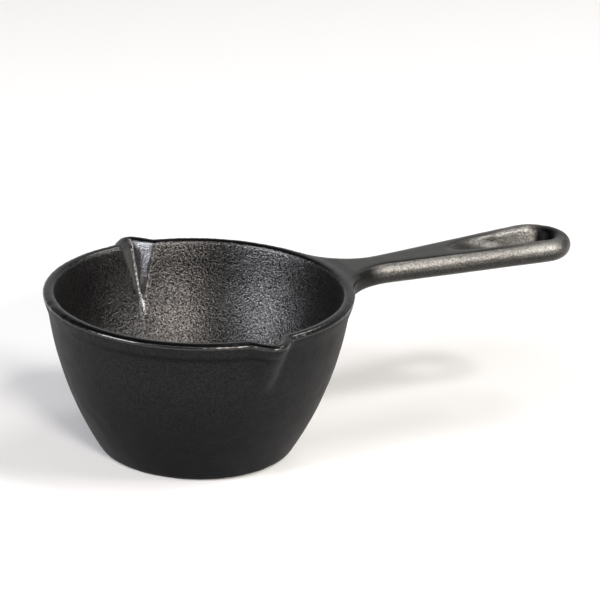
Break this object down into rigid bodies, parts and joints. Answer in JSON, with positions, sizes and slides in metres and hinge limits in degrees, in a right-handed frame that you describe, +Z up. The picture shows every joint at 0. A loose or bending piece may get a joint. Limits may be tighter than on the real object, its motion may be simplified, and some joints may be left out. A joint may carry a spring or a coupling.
{
  "type": "cast iron pouring pot",
  "caption": "Small bowed cast iron melting pot with opposite V pouring lips and a flat slotted handle, for heating and pouring small melts.",
  "frame": {"origin": "centre of the pot's flat foot, on the pot's axis", "axes": "+Z up along the pot's axis, +X along the handle, the pouring lips on +Y and -Y"},
  "size_m": [0.2322, 0.1362, 0.0659],
  "materials": {
    "cast_iron": "sand cast and oil seasoned, satin outside, grainy inside and on the handle"
  },
  "bodies": {
    "root": {"melting_pot": "cast_iron"}
  },
  "joints": []
}
